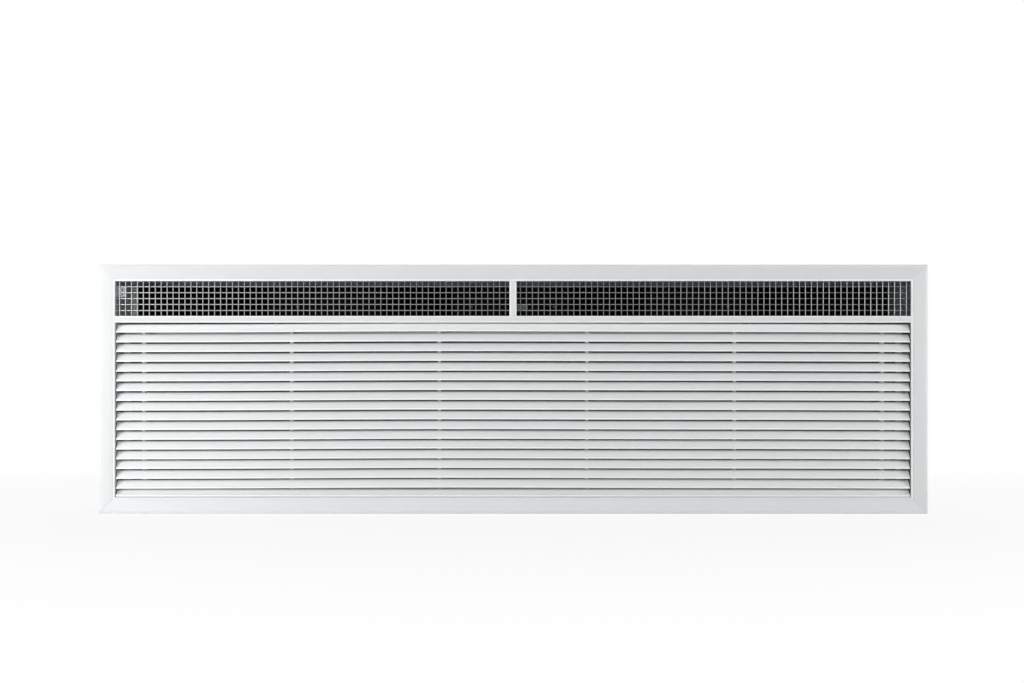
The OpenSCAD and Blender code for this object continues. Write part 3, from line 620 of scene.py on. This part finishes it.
# The lips of all but the hinged blade take a whiter tone as a painted highlight.
white_blade = powder_coat("white_blades", (0.88, 0.90, 0.899), (0.925, 0.93, 0.93))


def web_line(share):
    """Points of a blade's middle line and its normals. The tilt from the upright goes from
    lean to curl with the cube of the share of the way along, depth is the running mean of
    its sine and height of its cosine, and the length gives the whole its rise."""
    step = (np.arange(12) + 0.5)/12
    length = web_rise/np.cos(lean + (curl - lean)*step**3).mean()
    tilt = lean + (curl - lean)*(share[:, None]*step)**3
    line = (share*length)[:, None]*np.stack([np.sin(tilt).mean(1), np.cos(tilt).mean(1)], -1)
    tilt = lean + (curl - lean)*share**3
    return line, np.stack([-np.cos(tilt), np.sin(tilt)], -1)


def corner(d, h, radius, first, last, steps=6):
    """An arc of the given radius about (d, h), between two angles in degrees."""
    t = np.radians(np.linspace(first, last, steps))
    return np.stack([d + radius*np.cos(t), h + radius*np.sin(t)], -1)


def blade_section(hinged):
    """Outline of a blade as (depth, height): the web's two faces half a thickness off its
    middle line, a round back edge, and a flat lip with soft corners, or the hinge's bead."""
    line, normal = web_line(np.linspace(0.2 if hinged else 0.06, 1, 22))
    turn = math.degrees(curl)
    back = corner(*line[-1], web_t/2, 180 - turn, -turn, 7)[1:-1]
    if hinged:
        front = corner(0, hinge_h - first_h, bead_r, -10, -284, 30)
    else:
        low_r, top_r = 0.5, 0.6
        front = np.concatenate([
            corner(lip_half_t - low_r, low_r - lip_half_h, low_r, 0, -90),
            corner(low_r - lip_half_t, low_r - lip_half_h, low_r, 270, 180),
            corner(top_r - lip_half_t, lip_half_h - top_r, top_r, 180, 80)])
    return np.concatenate([line + normal*web_t/2, back, (line - normal*web_t/2)[::-1], front])


crown_sizes, crown_down, row_lift = (1.94, 0.02, -0.14, -0.24), 1.2, 0.013
own_bend = np.random.default_rng(18).normal(0, 0.1, (blade_n, 3))
own_bend[-1] = 0.1, 0.55, 0.0


def crown(share, row):
    """How high a blade stands at a share of its length, in mm: a sum of four sines, over
    1 mm below its place at both ends and 1 mm above it left of the middle, higher by a
    little in each row. A blade's own bend adds a level and two sines, and lifts the middle
    of the top blade. The hinged blade, row 0, is straight."""
    if row == 0:
        return np.zeros(share.shape)
    waves = sum(size*np.sin(k*math.pi*share) for k, size in enumerate(crown_sizes, 1))
    bend = own_bend[row] @ [np.ones(share.shape), np.sin(math.pi*share), np.sin(2*math.pi*share)]
    return waves - crown_down + row_lift*row + bend


x = np.linspace(-blade_l/2, blade_l/2, 49)[:, None]
for row in range(blade_n):
    section_d, section_h = blade_section(row == 0).T
    height = first_h + row*blade_step + section_h + crown(x[:, 0]/blade_l + 0.5, row)[:, None]
    rings = np.stack([np.broadcast_to(x, height.shape),
                      np.broadcast_to(nose_d + section_d, height.shape), height], -1)
    make(f"blade_{row + 1}_curve", skin(rings), white_blade, "louvre_core",
         f"blade_{row + 1}", sharp=50, lip=(section_d < 0) & (row > 0))

# The support bars' grey is painted shade, which dims them in the gaps between blades.
bar_metal = Finish("support_bar_painted_shade", (0.55, 0.56, 0.56), Metallic=0.2)
bar_metal.feed(Roughness=0.4 + bar_metal.noise(0.01, 3.0)*0.15)
bar_metal.bump(bar_metal.noise(0.0006, stretch=(1, 1, 0.05)), 0.00001)
finish_cad(bar_metal.material, "support_bars")
finish_cad(bright_steel, "hinge_pins")

spring_steel = Finish("spring_steel", (0.38, 0.38, 0.37), Metallic=1.0)
spring_steel.feed(Roughness=0.28 + spring_steel.noise(0.004)*0.15)
spring_steel.bump(spring_steel.noise(0.001), 0.00001)
finish_cad(spring_steel.material, "core_catches")

# ---------- filter ----------
# A washable fleece mat lies in a light aluminium frame that clips to the back of
# the support bars and swings out with the louvre.

filter_w, filter_low, filter_h = 1657, 46, 345.2
rail_front, rail_sunk, rail_back, rail_h = 40, 40.7, 52, 14
mat_front, mat_back, mat_in = 42.7, 49.3, 14.3
cassette_metal = Finish("filter_cassette", (0.42, 0.43, 0.44), Metallic=0.6)
cassette_metal.feed(Roughness=0.38 + cassette_metal.noise(0.03, 3.0)*0.12)
cassette_metal.bump(cassette_metal.noise(0.0007), 0.00002)
rail = rounded([(rail_front, 0), (rail_front, 3.5), (rail_sunk, 4), (rail_sunk, 10),
                (rail_front, 10.5), (rail_front, rail_h), (rail_back, rail_h), (rail_back, 0)],
               [1.2, 0.3, 0.3, 0.3, 0.3, 1.2, 1.2, 1.2], 4)
depth, inset = rail.T
rail_rings = [np.stack([side*(filter_w/2 - inset), depth,
                        filter_low + filter_h/2 + up*(filter_h/2 - inset)], -1)
              for side, up in ((-1, -1), (1, -1), (1, 1), (-1, 1))]
make("filter_frame", skin(np.stack(rail_rings), loop=True), cassette_metal.material,
     "louvre_core", "filter_cassette")

# The mat's near-black tone is painted shade, darkening what shows through the blade gaps.
fleece = Finish("filter_mat", (0.07, 0.072, 0.075), Roughness=0.95)
fibres = fleece.noise(0.0012, 4.0, 0.7)
clumps = fleece.noise(0.02, 3.0)
fleece.feed(Base_Color=fleece.mix(fibres*0.6 + clumps*0.4,
                                  (0.045, 0.047, 0.05), (0.10, 0.103, 0.106)))
fleece.bump(fibres*0.7 + clumps*0.3, 0.0008)


def fleece_sheet(half_w, low, high):
    """A mat with a loose surface: its front and back each swell by a tenth of the sum of six
    sines across and up, none longer than about half the mat's width."""
    across = np.linspace(-half_w, half_w, 150)[:, None]
    up = np.linspace(low, high, 48)[None]
    waves = np.random.default_rng(40).uniform((6, 3, 0), (40, 16, 6.3), (12, 3))
    front = sum(np.sin(a*across/half_w + b*(up - low)/(high - low) + c) for a, b, c in waves[:6])
    back = sum(np.sin(a*across/half_w - b*(up - low)/(high - low) + c) for a, b, c in waves[6:])
    depth = np.concatenate([mat_front + front*0.1, (mat_back + back*0.1)[:, ::-1]], 1)
    height = np.broadcast_to(np.concatenate([up, up[:, ::-1]], 1), depth.shape)
    return skin(np.stack([np.broadcast_to(across, depth.shape), depth, height], -1))


make("filter_fleece",
     fleece_sheet(filter_w/2 - mat_in, filter_low + mat_in, filter_low + filter_h - mat_in),
     fleece.material, "louvre_core", "filter_mat")

# ---------- photographer's table, light and camera ----------
# A plain white floor under the unit, a soft lamp at each side, the left one nearer and
# stronger, a weak one in front, one high behind, and a level camera square to the face.

floor_gap, face_y = 0.1, -0.4
bpy.ops.mesh.primitive_plane_add(size=40, location=(0, 0, -(origin_h + floor_gap)/1000))
floor = bpy.context.object
floor.name = "floor"
paper = Finish("floor_white", (0.88, 0.88, 0.88), Roughness=0.9)
seen = paper.node("ShaderNodeLightPath", "Is Camera Ray")
away = paper.node("ShaderNodeVectorMath", "Value", {"operation": "LENGTH"},
                  Vector=paper.node("ShaderNodeTexCoord", "Object"))
glow = paper.node("ShaderNodeEmission", "Emission", Color=(1.0, 1.0, 1.0), Strength=1.0)
blend = paper.node("ShaderNodeMixShader", "Shader",
                   Fac=seen*(0.9 + 0.1*paper.share(away, 0.9, 2.2)))
paper.tree.links.new(paper.shader.outputs[0], blend.socket.node.inputs[1])
paper.tree.links.new(glow.socket, blend.socket.node.inputs[2])
paper.tree.links.new(blend.socket, paper.tree.nodes["Material Output"].inputs["Surface"])
floor.data.materials.append(paper.material)

# The room shows as white to the camera, in gloss and through glass, and lights at 0.16.
room = bpy.data.worlds.new("room")
bpy.context.scene.world = room
room.use_nodes = True
air = room.node_tree
rays = air.nodes.new("ShaderNodeLightPath")
bright = rays.outputs["Is Camera Ray"]
for ray in ("Is Glossy Ray", "Is Transmission Ray"):
    either = air.nodes.new("ShaderNodeMath")
    either.operation = "MAXIMUM"
    air.links.new(bright, either.inputs[0])
    air.links.new(rays.outputs[ray], either.inputs[1])
    bright = either.outputs[0]
strength = air.nodes.new("ShaderNodeMapRange")
strength.inputs["To Min"].default_value = 0.16
strength.inputs["To Max"].default_value = 1.0
air.links.new(bright, strength.inputs["Value"])
air.links.new(strength.outputs[0], air.nodes["Background"].inputs["Strength"])
air.nodes["Background"].inputs["Color"].default_value = (1, 1, 1, 1)

for name, x, y, z, power, size in (
    ("left_lamp", -2.2, -1.9, 0.13, 40, 0.8),
    ("right_lamp", 2.8, -1.9, 0.25, 33, 0.8),
    ("front_lamp", 0.0, -3.2, 0.1, 19, 1.8),
    ("back_lamp", 0.3, 2.6, 2.0, 60, 2.4),
):
    lamp = bpy.data.lights.new(name, "AREA")
    lamp.energy, lamp.size = power, size
    holder = bpy.data.objects.new(name, lamp)
    holder.location = (x, y, z)
    aim = mathutils.Vector((-x, face_y - y, -z))
    holder.rotation_euler = aim.to_track_quat("-Z", "Y").to_euler()
    bpy.context.scene.collection.objects.link(holder)

# The camera stands 2.99 m from the face, level with the bolts' middle, and its shift puts
# the horizon as far below the picture's middle as in the photograph.
lens = bpy.data.cameras.new("camera")
lens.lens, lens.sensor_width = 50, 36
lens.shift_x, lens.shift_y = -0.001, 0.0466
camera = bpy.data.objects.new("camera", lens)
camera.location = (0, -3.397, 0)
camera.rotation_euler = (math.pi/2, 0, 0)
bpy.context.scene.collection.objects.link(camera)
bpy.context.scene.camera = camera
bpy.context.scene.view_settings.view_transform = "Standard"
